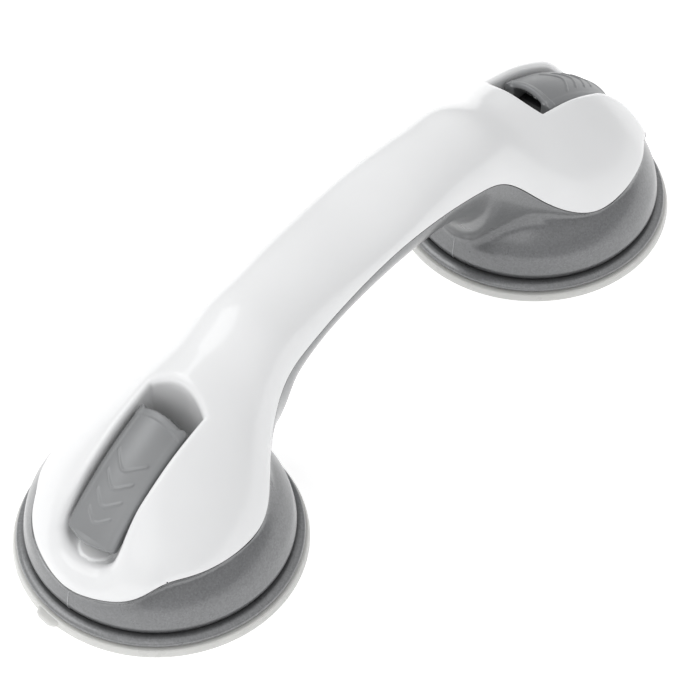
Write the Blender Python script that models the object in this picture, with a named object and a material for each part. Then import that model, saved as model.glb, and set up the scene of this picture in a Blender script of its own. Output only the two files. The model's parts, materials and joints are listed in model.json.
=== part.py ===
"""Suction grab bar: a two-shell bridge handle on two lever-locked suction cups.

Frame: X runs along the handle, Z points away from the wall, and the wall is the plane Z = 0.
The origin is the middle of the bar on the wall. Named sizes are in millimetres; MM turns them
into metres where a mesh is made. The bar is shown locked: both levers down, both cups drawn up.

On each cup a stem slides along Z. Its head carries the hinge pin of the lever, whose two cam
ears bear on a steel plate in the pocket floor. Lifting the lever turns the short side of the
cams down, so the stem drops and the cup lets go.
"""

import math

import bmesh
import bpy
from mathutils import Vector

MM = 0.001
SIDES = (("left", -1), ("right", 1))

# Driving sizes
CUP_R = 49.5
CUP_X = 100.2                 # cup centre from the middle of the bar
GAP = 0.3                     # air left between neighbouring pieces
WALL = 2.2                    # shell thickness
WELD_MM = 0.03                # corners closer than this are merged
ABOVE = 90.0                  # a height above the whole object, for cutters that run out of the top

# Upper shell, one quarter of it: distance from the middle, then the value
EDGE_Z = ((0, 67.2), (16, 66.2), (31, 63.5), (46, 59.8), (58, 55.0), (66, 47.0), (74, 37.0), (82, 30.2),
          (92, 26.7), (104, 26.5), (116, 27.2), (126, 27.3), (133, 24.8), (139, 20.0), (144.5, 17.2))
HALF_Y = ((0, 18.0), (45, 18.1), (57, 19.2), (66, 21.7), (74, 26.3), (81, 31.7), (88, 35.6), (96, 37.3),
          (106, 37.3), (116, 35.2), (122, 32.6), (128, 28.9), (134, 26.8), (139, 24.8), (145, 20.5))
RISE = ((0, 9.8), (20, 12.8), (40, 17.0), (55, 20.4), (66, 26.0), (76, 34.0), (86, 38.0), (98, 36.5),
        (110, 30.8), (122, 22.5), (134, 14.0), (144.5, 8.9))
POWER = ((0, 2.1), (50, 2.1), (66, 1.95), (80, 1.67), (95, 1.47), (110, 1.38), (125, 1.35), (144.5, 1.6))
NOSE_X = 144.6                # outer tip of the upper shell
NOSE_START = 120.0            # where the nose starts to round the sections off
NOSE_POWER = 4
TIP = 0.05                    # the last section stops this short of the tip
TIP_HALF_Y = 0.15             # and is no narrower
TIP_RISE = 0.1                # or lower than this
STATIONS = 37                 # sections along the upper shell
CORE_INSET = 0.5              # tubs and posts reach this close to the outer face
CORE_DEPTH = 14.0             # and this far below the joint line
HOLLOW_DEPTH = 16.0           # the hollow runs deeper than they do

# Lower shell
BELLY_Z = ((0, 48.5), (20, 47.8), (35, 44.5), (45, 38.5), (51, 30.0), (54, 22.0), (57, 18.2))
DOME = ((44.3, 6.3), (45.1, 7.6), (45.2, 9.0), (44.9, 12.0), (44.2, 15.0), (43.0, 17.8), (41.0, 21.3),
        (38.7, 24.5), (37.3, 26.5), (36.4, 30.0))
DECK_Z = (17.0, 19.5)         # floor across each dome
THROUGH_DECK = (10.0, 25.0)   # span of the cutters that go through it
BELLY_END = 84.0              # the handle's underside runs this far into the domes
BELLY_OVER_DECK = 1.2         # and stays this far above the underside of the floor
JOINT_OVERLAP = 8.0           # height above the joint line that the joint cut takes off again

# Lever, pin, stem and spring of one cup
PIN_Z = 46.5
PIN_R = 1.6
HOLE_R = 1.9
CAM_LOCKED = 8.5              # cam radius under the pin when locked
CAM_OPEN = 5.1                # and when the lever is up
CAM_FLARE = 3.9               # the far side of the cam swells by this much to meet the plate
CAM_JOIN = (1, 12)            # it meets the plate between these two of CAM_LINE points
CAM_LINE = 33
LEVER_TIPS = ((-4.0, 55.8), (32.4, 31.9))     # top corners of the lever: inner end, outer end (u, z)
LEVER_BULGE = 2.6             # rise of its top between the two ends
LEVER_CROWN = (3.6, 2.1)      # rise of its top in mid width, at the inner and the outer end
LEVER_BOW = 2.3               # both ends bow out this far in plan
LEVER_PLATE = 2.0
SKIRT_DEPTH = (5.5, 2.6)      # how far the skirts reach below the top, at the pin and at the outer end
SKIRT_TOP = 0.5
SKIRT_WALL = 2.0
SKIRT_TAPER = 0.6             # share of the length after which the skirts get shallower
SKIRT_INNER_U = -5.0          # the skirts stop here, so that they clear the cam plate when the lever is up
LEVER_HALF_Y = 9.8
EAR_INNER_Y = 6.0
HEAD_HALF_Y = 5.6
HEAD_R = 3.2
HEAD_LOW = 41.4               # underside of the head; it stays above the cam plate when the stem drops
STEM_R = 4.5
STEM_CLEARANCE = 0.7          # air around the stem where it passes the pocket floor and the plate
SHANK_TOP = 43.0
FOOT_R = 5.0                  # foot of the stem, moulded into the cup
FOOT_Z = 5.9
FLANGE_R = 15.0
FLANGE_Z = (7.8, 9.9)
FLANGE_EDGE = 0.6
PIN_INSET = 0.2               # the pin's ends sit this far inside the lever's sides
SPRING_Z = (10.2, 15.7)
SPRING_R = 9.0
SPRING_WIRE = 0.65
SPRING_TURNS = 3

# Pocket in the upper shell, seen from above: u runs outwards from the cup centre
POCKET_SIDE = 11.2            # half width
INNER_WALL_U = 6.5            # centre and radius of the curved wall at the inner end
INNER_WALL_R = 21.0
OUTER_WALL_U = 28.2           # where the outer end starts to round off
OUTER_WALL_POWER = 2.4
POCKET_FLOOR = ((-21.0, 34.6), (-9.0, 34.6), (-8.0, 36.4), (9.0, 36.4), (30.0, 24.0), (40.0, 24.0))
PAD_U = 28.9                  # round thumb pad on the pocket floor under the lever's outer end
PAD_R = 6.6
PAD_Z = (22.6, 25.0)
TUB_WALL = 2.0
POCKET_SPARE = 5.0            # the pocket's cutter runs this far past its floor

# Guide bush, spring seat and cam plate
BUSH_BORE = 4.8
BUSH_R = 7.0
BUSH_FLANGE_R = 9.5
BUSH_Z = (17.0, 19.8, 21.5)   # foot, underside of the flange, top
SEAT_R = (5.2, 12.0)
SEAT_Z = (16.0, 16.7)
PLATE_U = (-7.5, 8.5)
PLATE_HALF_Y = 9.9
PLATE_Z = (36.7, 37.7)

# Screws: two join the shells at each cup, three hold each base ring
SCREW_R = 1.2
SCREW_HEAD_R = 2.6
SCREW_HEAD_EDGE = 0.5
SCREW_HEAD_Z = 1.2
SCREW_POINT_Z = 0.8
SHELL_SCREW_UY = (4.0, 24.0)
SHELL_SCREW_Z = (15.4, 29.0)  # underside of the head, tip
POST_R = 3.6
POST_Z = 19.8
BORE_DEPTH = 11.0
RING_SCREW_R = 38.5
RING_SCREW_ANGLES = (90, 210, 330)
RING_SCREW_Z = (3.6, 14.0)
RING_POST_R = 3.2
RING_POST_Z = (7.5, 18.0)
RING_BORE_Z = 15.5

# Turned sections as (radius, z), counted round the section
BASE_RING = ((43.6, 3.2), (46.5, 3.2), (47.8, 3.6), (48.1, 4.4), (47.7, 5.3), (46.5, 5.95),
             (41.3, 6.0), (41.1, 7.2), (34.5, 7.2), (34.5, 5.1), (41.2, 5.1))
CUP = ((0, 4.4), (18, 4.4), (30, 2.9), (38, 1.1), (43, 0), (CUP_R, 0), (CUP_R, 1.3), (48.9, 2.6),
       (44, 2.9), (40, 2.9), (36, 3.3), (28, 5.4), (18, 7.5), (5.3, 7.5), (5.3, 5.6), (0, 5.6))

# Pull tab on the cup's rim
TAB_ANGLE = -7.0              # degrees from straight outwards
TAB_EDGE = ((47.5, 5.5), (50.3, 4.6), (51.6, 3.0))     # distance from the cup's centre, half width
TAB_Z = (0.6, 2.3)


def clear_scene():
    for obj in list(bpy.data.objects):
        bpy.data.objects.remove(obj, do_unlink=True)


def make_material(name, colour, roughness, metallic=0.0, transmission=0.0):
    mat = bpy.data.materials.new(name)
    mat.use_nodes = True
    bsdf = mat.node_tree.nodes["Principled BSDF"]
    bsdf.inputs["Base Color"].default_value = (*colour, 1.0)
    bsdf.inputs["Roughness"].default_value = roughness
    bsdf.inputs["Metallic"].default_value = metallic
    bsdf.inputs["Transmission Weight"].default_value = transmission
    return mat


def curve_value(points, x):
    """Smooth curve through a few points, held level beyond both ends."""
    if x <= points[0][0]:
        return points[0][1]
    if x >= points[-1][0]:
        return points[-1][1]
    i = max(k for k in range(len(points) - 1) if points[k][0] <= x)
    slopes = [slope_at(points, k) for k in (i, i + 1)]
    (xa, ya), (xb, yb) = points[i], points[i + 1]
    h = xb - xa
    t = (x - xa) / h
    start = (2 * t**3 - 3 * t**2 + 1) * ya + (t**3 - 2 * t**2 + t) * h * slopes[0]
    end = (3 * t**2 - 2 * t**3) * yb + (t**3 - t**2) * h * slopes[1]
    return start + end


def slope_at(points, k):
    """Slope of the smooth curve at one of its points; level at the middle of the bar."""
    if k == 0:
        return 0.0
    before = (points[k][1] - points[k - 1][1]) / (points[k][0] - points[k - 1][0])
    if k == len(points) - 1:
        return before
    after = (points[k + 1][1] - points[k][1]) / (points[k + 1][0] - points[k][0])
    ha = points[k][0] - points[k - 1][0]
    hb = points[k + 1][0] - points[k][0]
    return (before * hb + after * ha) / (ha + hb)


def section_power(x):
    """Exponent of the section across the bar: 2 is an ellipse, less is more pointed."""
    return curve_value(POWER, abs(x))


def nose_factor(x):
    """Shrinks the sections to nothing at the outer tip."""
    s = (abs(x) - NOSE_START) / (NOSE_X - NOSE_START)
    return (1 - min(1.0, max(0.0, s)) ** NOSE_POWER) ** (1 / section_power(x))


def half_width(x):
    """Half width of the upper shell at its lower edge."""
    return curve_value(HALF_Y, abs(x)) * nose_factor(x)


def edge_height(x):
    return curve_value(EDGE_Z, abs(x))


def crown_height(x):
    return edge_height(x) + curve_value(RISE, abs(x)) * nose_factor(x)


def bar_stations(reach, count):
    """Places along the bar, closer together towards both ends."""
    return [reach * math.sin(math.pi * (k / (count - 1) - 0.5)) for k in range(count)]


def finish_object(name, bm, mat, location=(0, 0, 0)):
    """Turns a bmesh in millimetres into an object whose origin is at location."""
    offset = Vector(location)
    for vert in bm.verts:
        vert.co = (vert.co - offset) * MM
    bmesh.ops.recalc_face_normals(bm, faces=bm.faces)
    mesh = bpy.data.meshes.new(name)
    bm.to_mesh(mesh)
    bm.free()
    mesh.shade_smooth()
    mesh.set_sharp_from_angle(angle=math.radians(35))
    obj = bpy.data.objects.new(name, mesh)
    obj.location = offset * MM
    bpy.context.scene.collection.objects.link(obj)
    if mat is None:
        obj.hide_render = True
        obj.display_type = "WIRE"
    else:
        mesh.materials.append(mat)
    return obj


def loft(name, rings, mat, location=(0, 0, 0)):
    """Closed solid through rings of points; every ring has the same number of points."""
    bm = bmesh.new()
    loops = [[bm.verts.new(p) for p in ring] for ring in rings]
    count = len(rings[0])
    for a, b in zip(loops, loops[1:]):
        for k in range(count):
            n = (k + 1) % count
            bm.faces.new((a[k], a[n], b[n], b[k]))
    bmesh.ops.triangulate(bm, faces=bm.faces)
    bm.faces.new(loops[0])
    bm.faces.new(loops[-1])
    return finish_object(name, bm, mat, location)


def revolve(name, profile, mat, centre_x=0.0, segments=40):
    """Solid turned about the Z axis at centre_x from a closed profile of (radius, z) points."""
    bm = bmesh.new()
    columns = []
    for r, z in profile:
        if r == 0:
            columns.append([bm.verts.new((centre_x, 0, z))] * segments)
            continue
        angles = [2 * math.pi * k / segments for k in range(segments)]
        columns.append([bm.verts.new((centre_x + r * math.cos(a), r * math.sin(a), z)) for a in angles])
    for i, a in enumerate(columns):
        b = columns[(i + 1) % len(columns)]
        for k in range(segments):
            n = (k + 1) % segments
            corners = list(dict.fromkeys((a[k], a[n], b[n], b[k])))
            if len(corners) > 2:
                bm.faces.new(corners)
    bmesh.ops.triangulate(bm, faces=bm.faces)
    return finish_object(name, bm, mat, (centre_x, 0, 0))


def prism(name, outline, mat, axis, span, location=(0, 0, 0)):
    """Outline of (p, q) points pushed along Y or Z between the two values of span."""
    place = {"Y": lambda p, q, s: (p, s, q), "Z": lambda p, q, s: (p, q, s)}[axis]
    rings = [[place(p, q, s) for p, q in outline] for s in span]
    return loft(name, rings, mat, location)


def cylinder(name, radius, span, mat, centre, axis="Z", segments=20):
    """Round bar along Y or Z; centre gives the two other coordinates of its axis."""
    angles = [2 * math.pi * k / segments for k in range(segments)]
    outline = [(centre[0] + radius * math.cos(a), centre[1] + radius * math.sin(a)) for a in angles]
    return prism(name, outline, mat, axis, span)


def combine(obj, other, operation, solver="EXACT"):
    """Adds a Boolean modifier that uses other as its cutter or its addition."""
    mod = obj.modifiers.new(operation.title(), "BOOLEAN")
    mod.operation = operation
    mod.solver = solver
    mod.object = other
    other.hide_render = True
    other.display_type = "WIRE"
    return obj


def weld(obj):
    """Closes up the hair-thin faces that a chain of Booleans leaves."""
    mod = obj.modifiers.new("Weld", "WELD")
    mod.merge_threshold = WELD_MM * MM
    return obj


def arch(x, half_y, base_z, crown_z, count, power=2.0):
    """Half of an oval across the bar, from the near edge over the crown to the far edge."""
    rise = crown_z - base_z
    points = []
    for k in range(count):
        across = math.cos(math.pi * k / (count - 1))
        up = math.sqrt(max(0.0, 1 - across * across))
        y = -half_y * math.copysign(abs(across) ** (2 / power), across)
        points.append((x, y, base_z + rise * up ** (2 / power)))
    return points


def upper_form(name, inset, depth, mat):
    """Solid under the upper shell's outer face, made smaller by inset and deeper by depth."""
    rings = []
    for x in bar_stations(NOSE_X - inset - TIP, STATIONS):
        half = max(half_width(x) - inset, TIP_HALF_Y)
        base = edge_height(x)
        crown = max(crown_height(x) - inset, base + TIP_RISE)
        ring = arch(x, half, base, crown, 13, section_power(x))
        if depth:
            ring += [(x, half, base - depth), (x, -half, base - depth)]
        rings.append(ring)
    return loft(name, rings, mat)


def pocket_plan(grow):
    """Outline of the lever pocket from above, as (u, y), grown outwards by grow."""
    side = POCKET_SIDE + grow
    radius = INNER_WALL_R + grow
    widest = math.asin(side / radius)
    points = []
    for k in range(8):
        a = math.pi + widest * (2 * k / 7 - 1)
        points.append((INNER_WALL_U + radius * math.cos(a), radius * math.sin(a)))
    for k in range(16):
        a = math.pi * (k / 15 - 0.5)
        u = OUTER_WALL_U + side * abs(math.cos(a)) ** (2 / OUTER_WALL_POWER)
        y = side * math.copysign(abs(math.sin(a)) ** (2 / OUTER_WALL_POWER), math.sin(a))
        points.append((u, y))
    return points


def pocket_form(name, side, grow):
    """Lever pocket of one cup: the plan outline, kept above the pocket floor."""
    plan = [(side * (CUP_X + u), y) for u, y in pocket_plan(grow)]
    form = prism(name, plan, None, "Z", (0, ABOVE))
    inner_u = POCKET_FLOOR[0][0] - POCKET_SPARE
    outer_u = POCKET_FLOOR[-1][0] + POCKET_SPARE
    section = [(inner_u, POCKET_FLOOR[0][1]), *POCKET_FLOOR, (outer_u, POCKET_FLOOR[-1][1])]
    section = [(u, z - grow) for u, z in section]
    section += [(outer_u, ABOVE + POCKET_SPARE), (inner_u, ABOVE + POCKET_SPARE)]
    reach = 2 * POCKET_SIDE
    keep = prism(name + "_keep", [(side * (CUP_X + u), z) for u, z in section], None, "Y", (-reach, reach))
    return combine(form, keep, "INTERSECT")


def screw_places(side):
    """Centres (x, y) of the two screws that hold the shells together at one cup."""
    u, y = SHELL_SCREW_UY
    return [(side * (CUP_X + u), end * y) for end in (-1, 1)]


def make_upper_shell(mat):
    """White shell with a lever pocket and two screw posts over each cup."""
    shell = upper_form("upper_shell", 0.0, 0.0, mat)
    core = upper_form("upper_core", CORE_INSET, CORE_DEPTH, None)
    fill = None
    for label, side in SIDES:
        pieces = [pocket_form("tub_" + label, side, TUB_WALL)]
        for k, centre in enumerate(screw_places(side)):
            pieces.append(cylinder(f"post_{label}_{k}", POST_R, (POST_Z, ABOVE), None, centre, segments=16))
        for piece in pieces:
            fill = piece if fill is None else combine(fill, piece, "UNION")
    combine(core, fill, "INTERSECT")
    combine(shell, upper_form("upper_hollow", WALL, HOLLOW_DEPTH, None), "DIFFERENCE")
    combine(shell, core, "UNION")
    for label, side in SIDES:
        combine(shell, pocket_form("pocket_" + label, side, 0.0), "DIFFERENCE")
        pad = cylinder("pad_" + label, PAD_R, PAD_Z, None, (side * (CUP_X + PAD_U), 0), segments=24)
        combine(shell, pad, "UNION")
        hole = cylinder("stem_hole_" + label, STEM_R + STEM_CLEARANCE, (0, ABOVE), None, (side * CUP_X, 0))
        combine(shell, hole, "DIFFERENCE")
        for k, centre in enumerate(screw_places(side)):
            span = (0, POST_Z + BORE_DEPTH)
            bore = cylinder(f"bore_{label}_{k}", SCREW_R + GAP, span, None, centre, segments=12)
            combine(shell, bore, "DIFFERENCE")
    return weld(shell)


def belly_form(name, inset, mat):
    """Handle part of the lower shell: half an ellipse hanging below the joint line."""
    rings = []
    for x in bar_stations(BELLY_END - inset, 23):
        half = half_width(x) - inset
        top = edge_height(x)
        low = max(curve_value(BELLY_Z, abs(x)), DECK_Z[0] + BELLY_OVER_DECK) + inset
        ring = arch(x, half, top, low, 9)
        rings.append(ring + [(x, half, top + JOINT_OVERLAP), (x, -half, top + JOINT_OVERLAP)])
    return loft(name, rings, mat)


def dome_profile(inset, low, high):
    """Turned section of a dome between two heights, drawn in by inset."""
    wall = [(r - inset, z) for r, z in DOME if low < z < high]
    return [(0, low), (dome_radius(low) - inset, low), *wall, (dome_radius(high) - inset, high), (0, high)]


def dome_radius(z):
    """Outer radius of the dome at height z, straight between the points of its section."""
    for (ra, za), (rb, zb) in zip(DOME, DOME[1:]):
        if za <= z <= zb:
            return ra + (rb - ra) * (z - za) / (zb - za)
    return DOME[0][0] if z < DOME[0][1] else DOME[-1][0]


def joint_line_cutter():
    """Everything above the line where the two shells meet, less a gap."""
    reach = CUP_X + CUP_R
    line = [(x, edge_height(x) - GAP) for x in bar_stations(NOSE_X - TIP, STATIONS)]
    low = line[0][1]
    outline = [(-reach, low), *line, (reach, low), (reach, ABOVE), (-reach, ABOVE)]
    return prism("above_joint_line", outline, None, "Y", (-CUP_R, CUP_R))


def make_lower_shell(mat):
    """Grey shell: both domes, the underside of the handle, and a floor across each dome."""
    top_z = DOME[-1][1]
    shell = belly_form("lower_shell", 0.0, mat)
    for label, side in SIDES:
        x = side * CUP_X
        dome = revolve("dome_" + label, dome_profile(0.0, DOME[0][1], top_z), None, x, 36)
        combine(shell, dome, "UNION", "MANIFOLD")
    combine(shell, belly_form("belly_hollow", WALL, None), "DIFFERENCE", "MANIFOLD")
    for label, side in SIDES:
        x = side * CUP_X
        under = revolve("under_" + label, dome_profile(WALL, 0.0, DECK_Z[0]), None, x, 24)
        over = revolve("over_" + label, dome_profile(WALL, DECK_Z[1], top_z + WALL), None, x, 24)
        combine(shell, under, "DIFFERENCE", "MANIFOLD")
        combine(shell, over, "DIFFERENCE", "MANIFOLD")
    combine(shell, joint_line_cutter(), "DIFFERENCE", "MANIFOLD")
    for label, side in SIDES:
        x = side * CUP_X
        for k, centre in enumerate(ring_screw_places(side)):
            post = cylinder(f"ring_post_{label}_{k}", RING_POST_R, RING_POST_Z, None, centre, segments=16)
            span = (0, RING_BORE_Z)
            bore = cylinder(f"ring_bore_{label}_{k}", SCREW_R + GAP, span, None, centre, segments=12)
            combine(shell, post, "UNION", "MANIFOLD")
            combine(shell, bore, "DIFFERENCE", "MANIFOLD")
        for k, centre in enumerate(screw_places(side)):
            hole = cylinder(f"deck_hole_{label}_{k}", SCREW_R + GAP, THROUGH_DECK, None, centre, segments=12)
            combine(shell, hole, "DIFFERENCE", "MANIFOLD")
        bush_hole = cylinder("bush_hole_" + label, BUSH_R + GAP, THROUGH_DECK, None, (x, 0), segments=24)
        combine(shell, bush_hole, "DIFFERENCE", "MANIFOLD")
    return weld(shell)


def ring_screw_places(side):
    """Centres (x, y) of the three screws that hold one base ring."""
    places = []
    for angle in RING_SCREW_ANGLES:
        a = math.radians(angle)
        places.append((side * (CUP_X + RING_SCREW_R * math.cos(a)), RING_SCREW_R * math.sin(a)))
    return places


def make_base_ring(label, side, mat):
    """Grey ring that clamps the cup's rim; its outer bead shows under the dome."""
    ring = revolve(f"{label}_base_ring", BASE_RING, mat, side * CUP_X, 36)
    for k, centre in enumerate(ring_screw_places(side)):
        hole = cylinder(f"ring_hole_{label}_{k}", SCREW_R + GAP, (0, RING_BORE_Z), None, centre, segments=12)
        combine(ring, hole, "DIFFERENCE")
    return ring


def make_cup(label, side, mat):
    """Soft cup: flat sealing rim, thin wall rising to a thick middle, and a pull tab."""
    cup = revolve(f"{label}_suction_cup", CUP, mat, side * CUP_X, 36)
    angle = math.radians(TAB_ANGLE)
    along = Vector((side * math.cos(angle), side * math.sin(angle)))
    across = Vector((-along.y, along.x))
    corners = [(reach, -half) for reach, half in TAB_EDGE]
    corners += [(reach, half) for reach, half in reversed(TAB_EDGE)]
    outline = [(side * CUP_X + p * along.x + q * across.x, p * along.y + q * across.y) for p, q in corners]
    tab = prism(f"tab_{label}", outline, None, "Z", TAB_Z)
    return combine(cup, tab, "UNION")


def make_stem(label, side, mat):
    """Stem of one cup: flat head for the pin, round shank, flange over the cup's middle."""
    x = side * CUP_X
    low, high = FLANGE_Z
    profile = [(0, FOOT_Z), (FOOT_R, FOOT_Z), (FOOT_R, low), (FLANGE_R, low), (FLANGE_R, high - FLANGE_EDGE),
               (FLANGE_R - FLANGE_EDGE, high), (STEM_R, high), (STEM_R, SHANK_TOP), (0, SHANK_TOP)]
    stem = revolve(f"{label}_stem", profile, mat, x, 24)
    angles = [math.pi * k / 10 for k in range(11)]
    head = [(x + HEAD_R * math.cos(a), PIN_Z + HEAD_R * math.sin(a)) for a in angles]
    head += [(x - HEAD_R, HEAD_LOW), (x + HEAD_R, HEAD_LOW)]
    combine(stem, prism(f"head_{label}", head, None, "Y", (-HEAD_HALF_Y, HEAD_HALF_Y)), "UNION")
    hole = cylinder(f"head_hole_{label}", HOLE_R, (-LEVER_HALF_Y, LEVER_HALF_Y), None, (x, PIN_Z), "Y", 16)
    combine(stem, hole, "DIFFERENCE")
    return stem


def lever_point(t, y, depth):
    """Point (u, z) of the lever at a share t of its length, y across, and a depth under its top."""
    (ua, za), (ub, zb) = LEVER_TIPS
    length = math.hypot(ub - ua, zb - za)
    along = ((ub - ua) / length, (zb - za) / length)
    across = 1 - (y / LEVER_HALF_Y) ** 2
    reach = t * length + LEVER_BOW * across * (2 * t - 1)
    crown = LEVER_CROWN[0] + (LEVER_CROWN[1] - LEVER_CROWN[0]) * t
    rise = 4 * LEVER_BULGE * t * (1 - t) + crown * across - depth
    return (ua + along[0] * reach - along[1] * rise, za + along[1] * reach + along[0] * rise)


def lever_line(depth_inner, depth_outer, count=9):
    """Points along the lever's side edge at a depth under its top, as (u, z)."""
    points = []
    for k in range(count):
        t = k / (count - 1)
        taper = max(0.0, t - SKIRT_TAPER) / (1 - SKIRT_TAPER)
        depth = depth_inner + (depth_outer - depth_inner) * taper
        points.append(lever_point(t, LEVER_HALF_Y, depth))
    return points


def cam_outline():
    """Outline of a cam ear about the pin, as (u, z): a spiral that shrinks towards the inner side."""
    points = []
    for degrees in range(-45, -91, -15):
        points.append((CAM_LOCKED, degrees))
    for degrees in range(-100, -181, -10):
        points.append((CAM_LOCKED + (CAM_OPEN - CAM_LOCKED) * (-90 - degrees) / 90, degrees))
    for degrees in range(-190, -241, -10):
        points.append((CAM_OPEN + CAM_FLARE * ((-180 - degrees) / 60) ** 2, degrees))
    outline = [(r * math.cos(math.radians(a)), PIN_Z + r * math.sin(math.radians(a))) for r, a in points]
    middle = lever_line(LEVER_PLATE / 2, LEVER_PLATE / 2, CAM_LINE)
    return outline + [middle[k] for k in CAM_JOIN]


def make_lever(label, side, mat):
    """Flip lever: curved plate with side skirts and two cam ears that turn on the pin."""
    def placed(points):
        return [(side * (CUP_X + u), z) for u, z in points]

    widths = [LEVER_HALF_Y * (k / 4 - 1) for k in range(9)]
    rings = []
    for k in range(11):
        ring = [(lever_point(k / 10, y, 0), y) for y in widths]
        ring += [(lever_point(k / 10, y, LEVER_PLATE), y) for y in reversed(widths)]
        rings.append([(side * (CUP_X + u), y, z) for (u, z), y in ring])
    skirt = lever_line(SKIRT_TOP, SKIRT_TOP) + lever_line(*SKIRT_DEPTH)[::-1]
    skirt = [(max(u, SKIRT_INNER_U), z) for u, z in skirt]
    pivot = (side * CUP_X, 0, PIN_Z)
    lever = loft(f"{label}_lever", rings, mat, pivot)
    for end in (-1, 1):
        outer = end * LEVER_HALF_Y
        wall = prism(f"skirt_{label}_{end}", placed(skirt), None, "Y", (outer - end * SKIRT_WALL, outer))
        ear = prism(f"ear_{label}_{end}", placed(cam_outline()), None, "Y", (end * EAR_INNER_Y, outer))
        combine(lever, wall, "UNION")
        combine(lever, ear, "UNION")
    reach = 2 * LEVER_HALF_Y
    hole = cylinder(f"ear_hole_{label}", HOLE_R, (-reach, reach), None, (side * CUP_X, PIN_Z), "Y", 16)
    return combine(lever, hole, "DIFFERENCE")


def make_pin(label, side, mat):
    """Steel hinge pin through the stem's head and both cam ears."""
    reach = LEVER_HALF_Y - PIN_INSET
    return cylinder(f"{label}_hinge_pin", PIN_R, (-reach, reach), mat, (side * CUP_X, PIN_Z), "Y", 16)


def make_spring(label, side, mat):
    """Coil spring that pushes the stem's flange away from the floor of the dome."""
    low = SPRING_Z[0] + SPRING_WIRE
    high = SPRING_Z[1] - SPRING_WIRE
    steps = SPRING_TURNS * 12
    rings = []
    for k in range(steps + 1):
        turn = 2 * math.pi * SPRING_TURNS * k / steps
        z = low + (high - low) * k / steps
        ring = []
        for j in range(6):
            a = math.pi * j / 3
            r = SPRING_R + SPRING_WIRE * math.cos(a)
            rise = SPRING_WIRE * math.sin(a)
            ring.append((side * CUP_X + r * math.cos(turn), r * math.sin(turn), z + rise))
        rings.append(ring)
    return loft(f"{label}_spring", rings, mat, (side * CUP_X, 0, 0))


def make_spring_seat(label, side, mat):
    """Washer that the top of the spring bears on."""
    profile = [(SEAT_R[0], SEAT_Z[0]), (SEAT_R[1], SEAT_Z[0]), (SEAT_R[1], SEAT_Z[1]), (SEAT_R[0], SEAT_Z[1])]
    return revolve(f"{label}_spring_seat", profile, mat, side * CUP_X, 24)


def make_bush(label, side, mat):
    """Flanged guide bush in the floor of the dome."""
    foot, flange, top = BUSH_Z
    profile = [(BUSH_BORE, foot), (BUSH_R, foot), (BUSH_R, flange), (BUSH_FLANGE_R, flange),
               (BUSH_FLANGE_R, top), (BUSH_BORE, top)]
    return revolve(f"{label}_guide_bush", profile, mat, side * CUP_X, 24)


def make_cam_plate(label, side, mat):
    """Steel plate on the pocket floor, with a hole for the stem."""
    u_low, u_high = PLATE_U
    y = PLATE_HALF_Y
    outline = [(side * (CUP_X + u), v) for u, v in ((u_low, -y), (u_high, -y), (u_high, y), (u_low, y))]
    plate = prism(f"{label}_cam_plate", outline, mat, "Z", PLATE_Z)
    radius = STEM_R + STEM_CLEARANCE
    hole = cylinder(f"plate_hole_{label}", radius, (0, ABOVE), None, (side * CUP_X, 0), segments=24)
    return combine(plate, hole, "DIFFERENCE")


def make_screw(name, centre, span, mat):
    """Pan-head screw pointing up, its head below; span is its two ends along Z."""
    low, tip = span
    edge = SCREW_HEAD_EDGE
    neck = low + SCREW_HEAD_Z
    profile = [(0, low), (SCREW_HEAD_R - edge, low), (SCREW_HEAD_R, low + edge), (SCREW_HEAD_R, neck),
               (SCREW_R, neck), (SCREW_R, tip - SCREW_POINT_Z), (SCREW_R / 2, tip), (0, tip)]
    screw = revolve(name, profile, mat, 0, 10)
    screw.location = Vector((centre[0], centre[1], 0)) * MM
    return screw


def build():
    """Makes the materials and every piece."""
    clear_scene()
    white = make_material("white_gloss_plastic", (0.86, 0.87, 0.88), 0.18)
    grey = make_material("grey_pearl_plastic", (0.22, 0.23, 0.24), 0.25)
    lever_grey = make_material("lever_grey_plastic", (0.30, 0.31, 0.32), 0.38)
    soft = make_material("clear_soft_vinyl", (0.80, 0.80, 0.77), 0.30, transmission=0.4)
    steel = make_material("bright_steel", (0.62, 0.62, 0.63), 0.25, 1.0)
    acetal = make_material("black_acetal", (0.02, 0.02, 0.02), 0.45)

    make_upper_shell(white)
    make_lower_shell(grey)
    for label, side in SIDES:
        make_lever(label, side, lever_grey)
        make_pin(label, side, steel)
        make_stem(label, side, acetal)
        make_spring(label, side, steel)
        make_spring_seat(label, side, steel)
        make_bush(label, side, acetal)
        make_cam_plate(label, side, steel)
        make_base_ring(label, side, grey)
        make_cup(label, side, soft)
        for k, centre in enumerate(screw_places(side)):
            make_screw(f"{label}_shell_screw_{k + 1}", centre, SHELL_SCREW_Z, steel)
        for k, centre in enumerate(ring_screw_places(side)):
            make_screw(f"{label}_ring_screw_{k + 1}", centre, RING_SCREW_Z, steel)


build()
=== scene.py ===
"""Suction grab bar: the finished surfaces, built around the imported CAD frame.

The big moulded pieces are described by fields: a function of (x, y, z) in millimetres that is
negative inside the piece, roughly equal to the distance from its surface. field_mesh() walks a
grid, finds the surface and returns vertices that lie on it. Turned pieces come from profiles.
Named sizes are in millimetres and MM turns them into metres.
"""

import json
import math

import bmesh
import bpy
import numpy as np
from mathutils import Matrix, Vector


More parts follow.
